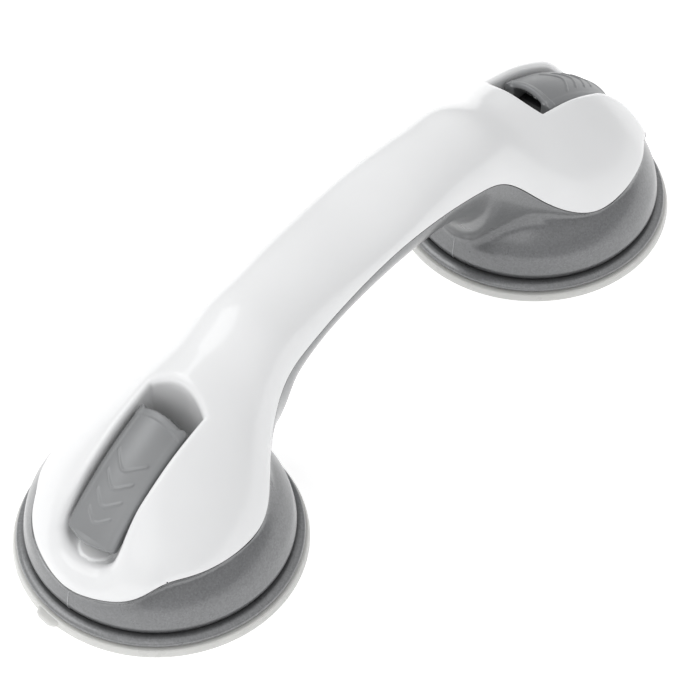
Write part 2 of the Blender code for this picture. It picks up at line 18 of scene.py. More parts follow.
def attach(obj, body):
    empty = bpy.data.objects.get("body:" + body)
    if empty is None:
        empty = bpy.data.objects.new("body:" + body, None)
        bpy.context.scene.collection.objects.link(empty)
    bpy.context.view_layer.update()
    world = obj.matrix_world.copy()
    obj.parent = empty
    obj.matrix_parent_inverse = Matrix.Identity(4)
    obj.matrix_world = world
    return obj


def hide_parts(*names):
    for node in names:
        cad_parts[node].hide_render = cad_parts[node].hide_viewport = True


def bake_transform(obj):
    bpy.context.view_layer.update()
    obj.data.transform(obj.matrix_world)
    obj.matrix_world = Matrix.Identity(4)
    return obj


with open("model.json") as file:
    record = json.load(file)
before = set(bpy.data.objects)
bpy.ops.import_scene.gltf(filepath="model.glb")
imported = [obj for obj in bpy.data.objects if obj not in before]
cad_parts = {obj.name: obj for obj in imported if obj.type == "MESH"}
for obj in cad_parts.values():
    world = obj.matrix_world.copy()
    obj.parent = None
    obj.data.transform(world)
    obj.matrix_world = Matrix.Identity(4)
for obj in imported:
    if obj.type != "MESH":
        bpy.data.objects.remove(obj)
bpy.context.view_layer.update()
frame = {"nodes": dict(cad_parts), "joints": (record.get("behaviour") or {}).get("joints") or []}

MM = 0.001
SIDES = (("left", -1), ("right", 1))


def hinge_place(label):
    """Distance from the middle of the bar and height of a lever's hinge, in millimetres."""
    joint = next(j for j in frame["joints"] if j["name"] == f"{label}_lever_hinge")
    x, _, z = joint["pos_m"]
    return abs(x) / MM, z / MM


CUP_X, PIN_Z = hinge_place("right")
WALL = 2.2                    # of both shells
GAP = 0.3                     # between the shells at the joint line
EDGE_SHARP = 50               # degrees from which an edge of a shell is shaded sharp
NODE_SHARP = 35               # the same for the CAD nodes that stay

# Upper shell, one quarter of it: distance from the middle, then the value
EDGE_Z = ((0, 67.2), (16, 66.2), (31, 63.5), (46, 59.8), (58, 55.0), (66, 47.0), (74, 37.0), (82, 30.2),
          (92, 26.7), (104, 26.5), (116, 27.2), (126, 27.3), (133, 24.8), (139, 20.0), (144.5, 17.2))
HALF_Y = ((0, 18.0), (20, 18.0), (45, 18.1), (57, 19.2), (66, 21.7), (74, 26.3), (81, 31.7), (88, 35.6),
          (96, 37.3), (106, 37.3), (116, 35.2), (122, 32.6), (128, 28.9), (134, 26.8), (139, 24.8),
          (145, 20.5))
RISE = ((0, 9.8), (20, 12.8), (40, 17.0), (55, 20.4), (66, 26.0), (76, 34.0), (86, 38.0), (98, 36.5),
        (110, 30.8), (122, 22.5), (134, 14.0), (144.5, 8.9))
POWER = ((0, 2.1), (50, 2.1), (66, 1.95), (80, 1.67), (95, 1.47), (110, 1.38), (125, 1.35), (144.5, 1.6))
RIDGE_SOFT = 4.0              # width over which the ridge of a pointed section is rounded
NOSE_X, NOSE_START, NOSE_POWER = 144.6, 120.0, 4
UPPER_BOX = (0, 0, 12), (147, 40, 82)
UPPER_STEP = 0.6, 0.8

# Lower shell
BELLY_Z = ((0, 48.5), (20, 47.8), (35, 44.5), (45, 38.5), (51, 30.0), (54, 22.0), (57, 18.2))
DOME = ((6.3, 44.3), (8.6, 45.2), (12.0, 44.9), (15.0, 44.2), (18.0, 42.9), (21.3, 41.0), (24.5, 38.7),
        (28.0, 35.9), (33.0, 31.0), (39.0, 24.0), (46.0, 14.0))
DOME_LOW = DOME[0][0]
DECK_Z = (17.0, 19.5)
DECK_HOLE_R = 7.3
LEAST_BELLY = 6.0             # depth of the belly where its curve comes close to the joint line
NECK_SOFT = 0.8, 5.0          # least and most fillet between the belly and a dome
LOWER_BOX = (0, 0, 4), (149, 49, 69)
LOWER_STEP = 0.75, 1.0

# Pocket of the lever: u runs outwards from the cup centre. The soft ones give u and a fillet's width
POCKET_SIDE = 11.2
INNER_WALL_U, INNER_WALL_R = 6.5, 21.0
OUTER_WALL_U, OUTER_WALL_POWER = 28.2, 2.4
POCKET_FLOOR = ((-21.0, 34.6), (-9.0, 34.6), (-8.0, 36.4), (9.0, 36.4), (30.0, 24.0), (40.0, 24.0))
FLOOR_SOFT = (22, 1.5), (34, 7.0)
RIM_SOFT = (20, 3.0), (36, 7.5)
TUB_SOFT = 4.0
PAD_U, PAD_R, PAD_Z, PAD_DEPTH = 28.9, 6.6, 25.0, 4.0
SHANK_HOLE_R = 5.2

# Clamping ring and soft cup, whole profiles: radius, height, rounding of the corner
RING = ((34.5, 5.1, 0.3), (41.2, 5.1, 0.3), (43.6, 3.2, 0.3), (46.5, 3.2, 0.5), (47.8, 3.5, 0.7),
        (48.15, 4.3, 0.8), (47.8, 5.15, 0.8), (46.8, 5.8, 0.7), (45.5, 6.0, 0.3), (41.3, 6.0, 0.2),
        (41.1, 7.2, 0.3), (34.5, 7.2, 0.3))
CUP = ((5.3, 5.6, 0), (5.3, 4.4, 0.3), (18, 4.4, 3), (30, 2.9, 4), (38, 1.1, 3), (43, 0.02, 2),
       (49.5, 0.02, 0.3), (49.5, 0.9, 0.6), (48.9, 2.6, 0.5), (44, 2.9, 1), (40, 2.9, 1),
       (36, 3.3, 2), (28, 5.4, 4), (18, 7.5, 3), (5.3, 7.5, 0.4))
CUP_BEND = 3.0, 7.4           # two heights on the cup's axis; make_cup turns them into points that it does not use
TURNED_SEGMENTS = 240

# Pull tab of each cup: direction in degrees, then sizes by distance from the cup's centre
TAB_ANGLE = -7.0
TAB_FROM, TAB_TO, TAB_HALF = 46.0, 51.5, 5.2
TAB_TAPER, TAB_CORNER = 0.04, 2.5
TAB_Z = (0.3, 2.4)
TAB_STEP = 0.35

# Mould line on each dome: its top on the outer side (1) and on the inner side (-1)
PARTING_TOP = {1: 15.5, -1: 17.5}
PARTING_R, PARTING_CORNERS, PARTING_POINTS = 0.2, 6, 40

# Lever: s runs from its inner tip to its outer one, t is the share of that length
LEVER_TIPS = ((-4.0, 55.8), (32.4, 31.9))
LEVER_BULGE = 2.6
LEVER_CROWN = (3.6, 2.1)
LEVER_BOW = 2.3
LEVER_HALF_Y = 9.8
LEVER_PLATE = 2.0
LEVER_STEP = 0.36, 0.5
LIP_HEIGHT, LIP_S = 0.35, (2.2, 2.9)
SKIRT_DEPTH = (0.55, 5.5), (1.0, 2.6)
SKIRT_WALL = 2.0
SKIRT_FROM_U = -5.0
CHEVRONS = ((19.4, 6.0), (26.1, 5.2), (32.7, 5.0), (38.6, 4.4))     # apex in s, half width
CHEVRON_HEIGHT, CHEVRON_EDGE = 0.38, (0.05, 0.75)
CHEVRON_LEAN, CHEVRON_TIP = 1.08, 2.5
EAR_FROM_Y = 6.0
PIN_HOLE_R = 1.9
CAM_R, CAM_FLAT, CAM_BACK = 8.5, 3.4, 3.9

# Camera
AZIMUTH, ELEVATION, ROLL = -50.01, 48.76, -0.38
CAMERA_PLACE = (-0.6194, -0.5138, 0.9291)
LENS, SENSOR = 187.54, 36
LENS_SHIFT = (-0.0007, 0.0007)

# Stage
FLOOR_HALF, FLOOR_DROP = 3.0, 0.0002
BRIGHT_SIDE = (-0.10, 0.15, 1.0)      # the room is brightest in this direction
DIM, BRIGHT = (0.42, 0.42, 0.43, 1), (1, 1, 1, 1)
BRIGHT_FROM, ROOM_STRENGTH = 0.6, 0.9
LAMP_TARGET = (0, 0, 0.03)
LAMPS = (("key", (-0.5, 0.8, 1.2), (1.2, 0.8), 5), ("fill", (-1.1, -0.5, 0.9), (0.9, 0.9), 2))


# ---------------------------------------------------------------- smooth curves and fields

def natural_curve(points, mirrored=True):
    """Smooth curve through points; returns a function that gives its value and slope.

    A mirrored curve is even: it is level at zero and reads the distance from zero.
    """
    x = np.array([p[0] for p in points], float)
    y = np.array([p[1] for p in points], float)
    if mirrored:
        x = np.concatenate((-x[:0:-1], x))
        y = np.concatenate((y[:0:-1], y))
    step = np.diff(x)
    rate = np.diff(y) / step
    count = len(x)
    system = np.eye(count)
    right = np.zeros(count)
    for i in range(1, count - 1):
        system[i, i - 1:i + 2] = step[i - 1], 2 * (step[i - 1] + step[i]), step[i]
        right[i] = 6 * (rate[i] - rate[i - 1])
    bend = np.linalg.solve(system, right)

    def at(place):
        p = np.abs(place) if mirrored else np.asarray(place, float)
        p = np.clip(p, x[0], x[-1])
        i = np.clip(np.searchsorted(x, p) - 1, 0, count - 2)
        h = step[i]
        a = (x[i + 1] - p) / h
        b = (p - x[i]) / h
        value = a * y[i] + b * y[i + 1] + ((a**3 - a) * bend[i] + (b**3 - b) * bend[i + 1]) * h * h / 6
        slope = rate[i] + ((3 * b * b - 1) * bend[i + 1] - (3 * a * a - 1) * bend[i]) * h / 6
        return value, slope

    return at


edge_curve = natural_curve(EDGE_Z)
width_curve = natural_curve(HALF_Y)
rise_curve = natural_curve(RISE)
power_curve = natural_curve(POWER)
belly_curve = natural_curve(BELLY_Z)
dome_curve = natural_curve(DOME, mirrored=False)


def joined(a, b, soft):
    """Both solids; the corner between them is filled over about the distance soft."""
    h = np.maximum(soft - np.abs(a - b), 0) / soft
    return np.minimum(a, b) - h * h * soft / 4


def common(a, b, soft):
    """What two solids share; the edge between them is rounded off over about the distance soft."""
    h = np.maximum(soft - np.abs(a - b), 0) / soft
    return np.maximum(a, b) + h * h * soft / 4


def smooth_step(x, low, high):
    """Goes from 0 at low to 1 at high."""
    t = np.clip((x - low) / (high - low), 0, 1)
    return t * t * (3 - 2 * t)


def eased(x, first, last):
    """Goes from one (place, value) pair to the other."""
    return first[1] + (last[1] - first[1]) * smooth_step(x, first[0], last[0])


def field_mesh(field, low, high, step, mirror_x=False, mirror_y=False, creases=()):
    """Vertices and four-sided faces of the surface where field(x, y, z) is zero.

    One vertex is put in each grid cell that the surface crosses, then pulled onto the surface.
    A mirrored axis starts half a step below zero, so that its first vertices lie on zero.
    Each crease is a pair of fields; where both are zero the mesh gets a clean edge.
    """
    axes = []
    for axis in range(3):
        start = low[axis]
        if axis == 0 and mirror_x or axis == 1 and mirror_y:
            start = -step / 2
        axes.append(start + step * np.arange(int(math.ceil((high[axis] - start) / step)) + 2))
    gx, gy, gz = axes[0][:, None, None], axes[1][None, :, None], axes[2][None, None, :]
    value = np.broadcast_to(field(gx, gy, gz), tuple(len(axis) for axis in axes))
    value = np.where(value == 0, 1e-9, value)
    solid = value < 0
    cells = tuple(n - 1 for n in value.shape)
    total = np.zeros((3,) + cells, np.float32)
    hits = np.zeros(cells, np.int32)
    faces = []
    number = np.full(cells, -1, np.int64)
    crossings = []
    for axis in range(3):
        first = [slice(None)] * 3
        second = [slice(None)] * 3
        first[axis] = slice(0, -1)
        second[axis] = slice(1, None)
        a, b = value[tuple(first)], value[tuple(second)]
        place = np.argwhere(solid[tuple(first)] != solid[tuple(second)])
        va = a[tuple(place.T)]
        vb = b[tuple(place.T)]
        share = (va / (va - vb)).astype(np.float32)
        crossings.append((place, va < 0))
        for da in (0, 1):
            for db in (0, 1):
                shift = [0, 0, 0]
                shift[(axis + 1) % 3] = -da
                shift[(axis + 2) % 3] = -db
                cell = place + shift
                good = np.all((cell >= 0) & (cell < cells), axis=1)
                c = tuple(cell[good].T)
                offset = np.zeros((int(good.sum()), 3), np.float32)
                offset[:, axis] = share[good]
                offset[:, (axis + 1) % 3] = da
                offset[:, (axis + 2) % 3] = db
                for k in range(3):
                    np.add.at(total[k], c, offset[:, k])
                np.add.at(hits, c, 1)
    used = np.argwhere(hits > 0)
    u = tuple(used.T)
    number[u] = np.arange(len(used))
    start = np.array([axis[0] for axis in axes])
    points = start + step * (used + np.stack([total[k][u] / hits[u] for k in range(3)], axis=1))
    for axis, (place, inward) in enumerate(crossings):
        corners = []
        for da, db in ((0, 0), (1, 0), (1, 1), (0, 1)):
            shift = [0, 0, 0]
            shift[(axis + 1) % 3] = -da
            shift[(axis + 2) % 3] = -db
            corners.append(place + shift)
        corners = np.stack(corners, axis=1)
        good = np.all((corners >= 0) & (corners < cells), axis=(1, 2))
        if mirror_x and axis != 0:
            good &= place[:, 0] > 0
        if mirror_y and axis != 1:
            good &= place[:, 1] > 0
        corners = corners[good]
        quad = number[corners[..., 0], corners[..., 1], corners[..., 2]]
        flip = inward[good]
        quad[flip] = quad[flip][:, ::-1]
        faces.append(quad)
    faces = np.concatenate(faces)[:, ::-1]
    points = settle(field, points, step)
    for pair in creases:
        points, faces = snap_to_crease(pair, points, faces, step)
    for axis, wanted in ((0, mirror_x), (1, mirror_y)):
        if wanted:
            points[used[:, axis] == 0, axis] = 0
            points, faces, used = mirrored_mesh(points, faces, used, axis)
    return points, faces


def slope_of(field, points):
    """Value and slope of a field at each point."""
    tiny = 0.01
    x, y, z = points.T
    slope = np.stack((field(x + tiny, y, z) - field(x - tiny, y, z),
                      field(x, y + tiny, z) - field(x, y - tiny, z),
                      field(x, y, z + tiny) - field(x, y, z - tiny)), axis=1) / (2 * tiny)
    return field(x, y, z), slope


def settle(field, points, step):
    """Pulls points onto the surface of the field, along its slope and not much over half a step."""
    start = points.copy()
    for _ in range(4):
        value, slope = slope_of(field, points)
        size = np.maximum((slope**2).sum(axis=1), 0.05)
        move = -slope * (value / size)[:, None]
        length = np.linalg.norm(move, axis=1, keepdims=True)
        points = points + move * np.minimum(1, 0.35 * step / np.maximum(length, 1e-9))
        drift = points - start
        far = np.linalg.norm(drift, axis=1, keepdims=True)
        points = start + drift * np.minimum(1, 0.7 * step / np.maximum(far, 1e-9))
    return points


def onto_crease(pair, place):
    """The nearest points where both fields are zero."""
    for _ in range(5):
        (a, slope_a), (b, slope_b) = [slope_of(field, place) for field in pair]
        aa, ab, bb = (slope_a**2).sum(axis=1), (slope_a * slope_b).sum(axis=1), (slope_b**2).sum(axis=1)
        area = np.maximum(aa * bb - ab**2, 0.05)
        along_a, along_b = (a * bb - b * ab) / area, (b * aa - a * ab) / area
        place = place - along_a[:, None] * slope_a - along_b[:, None] * slope_b
    return place


def snap_to_crease(pair, points, faces, step):
    """Moves vertices onto the crease between two surfaces, so that no face cuts across it.

    Faces that fold there become two triangles, each written with its last corner twice.
    """
    values = [np.abs(field(*points.T)) for field in pair]
    near = np.flatnonzero(np.maximum(*values) < 2.5 * step)
    target = points.copy()
    target[near] = onto_crease(pair, points[near])
    shift = np.full(len(points), np.inf)
    shift[near] = np.linalg.norm(target[near] - points[near], axis=1)
    on_first = values[0] < values[1]
    a, b = faces.ravel(), np.roll(faces, -1, axis=1).ravel()
    across = (on_first[a] != on_first[b]) & np.isfinite(shift[a] + shift[b])
    moved = np.zeros(len(points), bool)
    moved[np.where(shift[a] < shift[b], a, b)[across]] = True
    points = np.where(moved[:, None], target, points)
    other_way = moved[faces[:, 1]] & moved[faces[:, 3]] & ~(moved[faces[:, 0]] & moved[faces[:, 2]])
    faces[other_way] = np.roll(faces[other_way], 1, axis=1)
    folded = moved[faces[:, 0]] & moved[faces[:, 2]]
    a = np.concatenate((a, faces[folded][:, 0]))
    b = np.concatenate((b, faces[folded][:, 2]))
    linked = moved[a] & moved[b]
    a, b = np.concatenate((a[linked], b[linked])), np.concatenate((b[linked], a[linked]))
    for _ in range(4):
        total, count = np.zeros(points.shape), np.zeros(len(points))
        np.add.at(total, a, points[b])
        np.add.at(count, a, 1)
        even = moved & (count > 0)
        points[even] = onto_crease(pair, 0.5 * points[even] + 0.5 * total[even] / count[even][:, None])
    halves = (faces[folded][:, [0, 1, 2, 2]], faces[folded][:, [0, 2, 3, 3]])
    return points, np.concatenate((faces[~folded], *halves))


def mirrored_mesh(points, faces, used, axis):
    """Adds the mirror image across zero on one axis; vertices on zero are shared."""
    seam = used[:, axis] == 0
    order = np.arange(len(points))
    order[~seam] = len(points) + np.arange(int((~seam).sum()))
    image = points[~seam].copy()
    image[:, axis] *= -1
    faces = np.concatenate((faces, order[faces][:, ::-1]))
    return np.concatenate((points, image)), faces, np.concatenate((used, used[~seam]))


def mesh_object(name, points, faces, material, sharp_deg=None):
    """Object from points in millimetres; a corner that a face repeats counts once."""
    mesh = bpy.data.meshes.new(name)
    corners = [tuple(dict.fromkeys(face)) for face in np.asarray(faces).tolist()]
    mesh.from_pydata((np.asarray(points) * MM).tolist(), [], corners)
    mesh.validate()
    bm = bmesh.new()
    bm.from_mesh(mesh)
    bmesh.ops.recalc_face_normals(bm, faces=bm.faces)
    bm.to_mesh(mesh)
    bm.free()
    mesh.shade_smooth()
    if sharp_deg is not None:
        mesh.set_sharp_from_angle(angle=math.radians(sharp_deg))
    mesh.materials.append(material)
    obj = bpy.data.objects.new(name, mesh)
    bpy.context.scene.collection.objects.link(obj)
    return obj


def flip_x(points, faces):
    """Mirror image of a mesh, from one end of the bar to the other."""
    points = points.copy()
    points[:, 0] *= -1
    return points, np.asarray(faces)[:, ::-1]


# ---------------------------------------------------------------- upper shell

def section_value(x, y, z, height_curve, power_of):
    """Sum that is 1 on an oval section whose middle is on the joint line."""
    edge = edge_curve(x)[0]
    width = width_curve(x)[0]
    height = height_curve(x)
    power = power_of(x)
    s = np.clip((np.abs(x) - NOSE_START) / (NOSE_X - NOSE_START), 0, 1.3)
    low = RIDGE_SOFT**power
    across = ((y * y + RIDGE_SOFT**2)**(power / 2) - low) / ((width**2 + RIDGE_SOFT**2)**(power / 2) - low)
    return s**NOSE_POWER + across + (np.abs(z - edge) / height)**power


def section_field(x, y, z, height_curve, power_of):
    """First-order distance from the surface with those sections."""
    tiny = 0.02
    power = power_of(x)
    value = np.maximum(section_value(x, y, z, height_curve, power_of), 1e-4)
    slope = []
    for axis in range(3):
        after, before = ([c + shift * (k == axis) for k, c in enumerate((x, y, z))]
                         for shift in (tiny, -tiny))
        slope.append(section_value(*after, height_curve, power_of)
                     - section_value(*before, height_curve, power_of))
    size = np.sqrt(sum(g * g for g in slope)) / (2 * tiny)
    radius = value**(1 / power)
    return (radius - 1) / np.maximum(size * radius / (power * value), 0.012)


def crown_field(x, y, z):
    return section_field(x, y, z, lambda p: rise_curve(p)[0], lambda p: power_curve(p)[0])


def pocket_field(u, y, z, spread):
    """Air over the pocket floor, made larger by spread."""
    v = np.abs(y)
    reach = np.maximum(u - OUTER_WALL_U, 0)
    sides = (v**OUTER_WALL_POWER + reach**OUTER_WALL_POWER)**(1 / OUTER_WALL_POWER) - POCKET_SIDE
    end_wall = np.hypot(np.minimum(u - INNER_WALL_U, 0), v) - INNER_WALL_R
    plan = common(sides, end_wall, 0.4)
    floor = np.interp(u, [p[0] for p in POCKET_FLOOR], [p[1] for p in POCKET_FLOOR])
    return common(plan - spread, (floor - z) * 0.9 - spread, eased(u, *FLOOR_SOFT))


def under_joint(x, y, z):
    """Distance above the joint line, negative over it."""
    edge, slope = edge_curve(x)
    return (edge - z) / np.sqrt(1 + slope**2) + 0 * y


def raised_crown(x, y, z):
    """The crown, carried straight down below the joint line."""
    return crown_field(x, y, np.maximum(z, edge_curve(x)[0]))


def upper_field(x, y, z):
    """Crown cut off at the joint line, with the pocket and its tub, the pad and the shank's hole."""
    u = np.abs(x) - CUP_X
    void = pocket_field(u, y, z, 0.0)
    tub = pocket_field(u, y, z, WALL)
    raised = raised_crown(x, y, z)
    skin = common(-(crown_field(x, y, z) + WALL), under_joint(x, y, z), 0.3)
    solid = common(common(raised, -void, eased(u, *RIM_SOFT)), joined(skin, tub, TUB_SOFT), 0.2)
    pad = np.maximum(np.hypot(u - PAD_U, y) - PAD_R, np.maximum(z - PAD_Z, PAD_Z - PAD_DEPTH - z))
    solid = joined(solid, common(pad, raised + 1.0, 0.5), 0.4)
    return common(solid, SHANK_HOLE_R - np.hypot(u, y), 0.4)


def make_shell(name, material, field, box, steps, creases):
    """Whole shell from one quarter of it; creases are where it gets clean edges."""
    points, faces = field_mesh(field, *box, steps[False], True, True, creases)
    shell = mesh_object(f"{name}_skin", points, faces, material, EDGE_SHARP)
    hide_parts(name)
    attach(shell, "base")


# ---------------------------------------------------------------- lower shell

def belly_depth(x):
    """Depth of the handle's grey underside below the joint line."""
    return np.maximum(edge_curve(x)[0] - belly_curve(x)[0], LEAST_BELLY)


def lower_outer(x, y, z):
    """Outside of the lower shell: the belly of the handle melting into the two domes."""
    u = np.abs(x) - CUP_X
    edge = edge_curve(x)[0]
    belly = section_field(x, y, z, belly_depth, lambda p: 2.0)
    radius, radius_slope = dome_curve(z)
    dome = (np.hypot(u, y) - radius) / np.sqrt(1 + radius_slope**2)
    return joined(belly, dome, np.clip((edge - z) * 0.5, *NECK_SOFT))


def over_lid(x, y, z):
    """Distance above the grey shell's upper edge, which lies a gap under the joint line."""
    return GAP - under_joint(x, y, z)


def under_foot(x, y, z):
    """Distance below the domes' foot."""
    return DOME_LOW - z + 0 * x


def lower_field(x, y, z):
    """Hollow shell with a deck across each dome, cut off at the lid and the foot."""
    u = np.abs(x) - CUP_X
    outer = lower_outer(x, y, z)
    deck = np.maximum(DECK_Z[0] - z, z - DECK_Z[1])
    deck = np.maximum(deck, DECK_HOLE_R - np.hypot(u, y))
    solid = common(outer, joined(-(outer + WALL), deck, 1.5), 0.5)
    solid = common(solid, over_lid(x, y, z), 0.2)
    return common(solid, under_foot(x, y, z), 0.2)


# ---------------------------------------------------------------- levers

LEVER_ALONG = np.array(LEVER_TIPS[1]) - np.array(LEVER_TIPS[0])
LEVER_LENGTH = float(np.hypot(*LEVER_ALONG))
LEVER_ALONG = LEVER_ALONG / LEVER_LENGTH


def lever_top(t, y):
    """Height of the lever's top over the line between its tips."""
    across = 1 - (y / LEVER_HALF_Y)**2
    crown = LEVER_CROWN[0] + (LEVER_CROWN[1] - LEVER_CROWN[0]) * t
    return 4 * LEVER_BULGE * t * (1 - t) + crown * across


def chevron_height(s, y):
    """Four raised curved ridges that point to the outer end."""
    height = 0.0
    for apex, half in CHEVRONS:
        bend = np.sqrt(y * y * CHEVRON_LEAN + CHEVRON_TIP)
        line = apex - (bend - 1.58)
        gap = np.abs(s - line) / np.sqrt(1 + (CHEVRON_LEAN * y / bend)**2)
        gap = np.hypot(gap, np.maximum(np.abs(y) - half, 0))
        height = np.maximum(height, CHEVRON_HEIGHT * (1 - smooth_step(gap, *CHEVRON_EDGE)))
    return height


def cam_radius(degrees):
    """Radius of the cam ear by direction from the pin; least towards the inner side, where it rests
    when the lever is open."""
    turn = np.mod(degrees + 270, 360) - 270
    shrink = CAM_R - CAM_FLAT * np.clip((-90 - turn) / 90, 0, 1)
    grow = CAM_BACK * np.clip((-180 - turn) / 60, 0, 1)**2
    return shrink + grow


def lever_field(x, y, z):
    """Lever of the right cup: bowed plate with a lip, chevrons and a skirt, and two cam ears."""
    u = x - CUP_X
    du, dz = u - LEVER_TIPS[0][0], z - LEVER_TIPS[0][1]
    s = du * LEVER_ALONG[0] + dz * LEVER_ALONG[1]
    n = -du * LEVER_ALONG[1] + dz * LEVER_ALONG[0]
    t = np.clip(s / LEVER_LENGTH, 0, 1)
    v = np.abs(y)
    across = 1 - np.minimum(v / LEVER_HALF_Y, 1)**2
    bow = LEVER_BOW * across
    top = n - lever_top(t, np.minimum(v, LEVER_HALF_Y))
    lip = LIP_HEIGHT * (1 - smooth_step(s + bow, *LIP_S))
    detail = chevron_height(s, y) + lip
    slant = np.sqrt(1 + (2 * LEVER_CROWN[0] * v / LEVER_HALF_Y**2)**2)
    face = (top - detail) / slant
    ends = common(-(s + bow), s - LEVER_LENGTH - bow, 1.0)
    side = v - LEVER_HALF_Y
    plate = common(face, -(top / slant + LEVER_PLATE), 0.6)
    plate = common(plate, common(ends, side, 1.6), 0.9)
    skirt = common(side, LEVER_HALF_Y - SKIRT_WALL - v, 0.4)
    skirt = common(skirt, -(n + eased(t, *SKIRT_DEPTH)), 0.8)
    skirt = common(skirt, face, 0.9)
    skirt = common(skirt, common(s - LEVER_LENGTH - bow, SKIRT_FROM_U - u, 0.8), 0.8)
    solid = joined(plate, skirt, 0.8)
    du, dz = u, z - PIN_Z
    angle = np.degrees(np.arctan2(dz, du))
    cam = (np.hypot(du, dz) - cam_radius(angle)) * 0.95
    web = np.maximum(np.maximum(SKIRT_FROM_U - u, -(dz + 0.3 * (du - 2))), (du * 0.86 + dz * 0.5) - 8.2)
    ear = joined(cam, web, 0.5)
    ear = common(ear, n - 0.4, 0.4)
    ear = common(ear, common(side, EAR_FROM_Y - v, 0.3), 0.5)
    solid = joined(solid, ear, 0.4)
    return common(solid, PIN_HOLE_R - np.hypot(du, dz), 0.3)


def make_levers(material):
    low = (CUP_X - 9, 0, 25)
    high = (CUP_X + 38, 11, 62)
    right = field_mesh(lever_field, low, high, LEVER_STEP[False], False, True)
    for label, side in SIDES:
        points, faces = right if side > 0 else flip_x(*right)
        lever = mesh_object(f"{label}_lever_skin", points, faces, material)
        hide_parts(f"{label}_lever")
        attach(lever, f"{label}_lever")


# ---------------------------------------------------------------- turned pieces

def round_corners(profile, pieces):
    """Closed outline from (r, z, rounding) corners; each rounding is a curve of so many pieces."""
    points = [Vector(p[:2]) for p in profile]
    result = []
    for i, corner in enumerate(points):
        before = points[i - 1] - corner
        after = points[(i + 1) % len(points)] - corner
        rounding = profile[i][2]
        if rounding == 0:
            result.append(tuple(corner))
            continue
        cut = min(rounding, before.length * 0.45, after.length * 0.45)
        a = corner + before.normalized() * cut
        b = corner + after.normalized() * cut
        for k in range(pieces + 1):
            t = k / pieces
            result.append(tuple(a * (1 - t)**2 + corner * 2 * t * (1 - t) + b * t * t))
    return result


def turned_mesh(outline, centre_x):
    """Points and faces of a closed outline of (r, z) points turned about Z; r above zero."""
    points = []
    for k in range(TURNED_SEGMENTS):
        a = 2 * math.pi * k / TURNED_SEGMENTS
        points += [(centre_x + r * math.cos(a), r * math.sin(a), z) for r, z in outline]
    count = len(outline)
    faces = []
    for k in range(TURNED_SEGMENTS):
        for i in range(count):
            j = (i + 1) % count
            m = (k + 1) % TURNED_SEGMENTS
            faces.append((k * count + i, k * count + j, m * count + j, m * count + i))
    return np.array(points), np.array(faces)


def make_ring(label, side, material):
    """Clamping ring: the bead under the dome, its groove, and the flange that holds the cup."""
    points, faces = turned_mesh(round_corners(RING, 4), side * CUP_X)
    ring = mesh_object(f"{label}_base_ring_skin", points, faces, material)
    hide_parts(f"{label}_base_ring")
    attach(ring, "base")


def make_cup(label, side, material):
    """Soft cup turned from its profile; the mesh stays as made and does not follow the stem."""
    points, faces = turned_mesh(round_corners(CUP, 5), side * CUP_X)
    cup = mesh_object(f"{label}_cup_skin", points, faces, material)
    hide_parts(f"{label}_suction_cup")
    start, end = ((side * CUP_X * MM, 0, z * MM) for z in CUP_BEND)
    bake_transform(cup)
    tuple(start)
    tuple(end)


def make_tab(label, side, material):
    """Pull tab that runs out from under the cup's rim: a flat tongue that narrows towards its rounded end.
    """
    angle = math.radians(TAB_ANGLE)
    along = (side * math.cos(angle), side * math.sin(angle))

    def field(x, y, z):
        dx, dy = x - side * CUP_X, y
        p = dx * along[0] + dy * along[1]
        q = np.abs(-dx * along[1] + dy * along[0])
        plan = common(q - TAB_HALF + TAB_TAPER * (p - TAB_FROM)**2, p - TAB_TO, TAB_CORNER)
        plan = common(plan, TAB_FROM - p, 0.5)
        thick = np.maximum(TAB_Z[0] - z, z - TAB_Z[1])
        return common(plan, thick, 1.0)

    middle = (side * CUP_X + along[0] * TAB_TO, along[1] * TAB_TO)
    low = (middle[0] - 8, middle[1] - 8, TAB_Z[0] - 1)
    high = (middle[0] + 8, middle[1] + 8, TAB_Z[1] + 1)
    points, faces = field_mesh(field, low, high, TAB_STEP)
    tab = mesh_object(f"{label}_pull_tab", points, faces, material)
    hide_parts(f"{label}_suction_cup")
    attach(tab, "base")


def make_parting_line(label, side, end, material):
    """Fine mould line that runs up a dome in the middle plane; end is 1 outside, -1 inside."""
    z = np.linspace(DOME_LOW + PARTING_R, PARTING_TOP[end], PARTING_POINTS)
    x = CUP_X + end * dome_curve(z)[0]
    line = settle(lower_outer, np.stack((x, np.zeros(PARTING_POINTS), z), axis=1), 20.0)
    line[:, 0] *= side
    points, faces = [], []
    for k, (px, _, pz) in enumerate(line):
        before, after = line[max(k - 1, 0)], line[min(k + 1, PARTING_POINTS - 1)]
        along = Vector(after - before).normalized()
        out = along.cross(Vector((0, 1, 0)))
        for j in range(PARTING_CORNERS):
            a = 2 * math.pi * j / PARTING_CORNERS
            offset = out * math.sin(a) + Vector((0, 1, 0)) * math.cos(a)
            points.append(tuple(Vector((px, 0, pz)) + offset * PARTING_R))
        if k:
            first = (k - 1) * PARTING_CORNERS
            rim = [first + j for j in range(PARTING_CORNERS)]
            faces += [(a, b, b + PARTING_CORNERS, a + PARTING_CORNERS)
                      for a, b in zip(rim, rim[1:] + rim[:1])]
    for start in (0, (PARTING_POINTS - 1) * PARTING_CORNERS):
        faces += [(start, start + 1, start + 2, start + 3), (start, start + 3, start + 4, start + 5)]
    name = f"{label}_parting_line_{'outer' if end > 0 else 'inner'}"
    ridge = mesh_object(name, np.array(points), faces, material)
    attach(ridge, "base")


# ---------------------------------------------------------------- materials

def new_material(name):
    material = bpy.data.materials.new(name)
    material.use_nodes = True
    nodes = material.node_tree.nodes
    links = material.node_tree.links
    return material, nodes, links, nodes["Principled BSDF"]


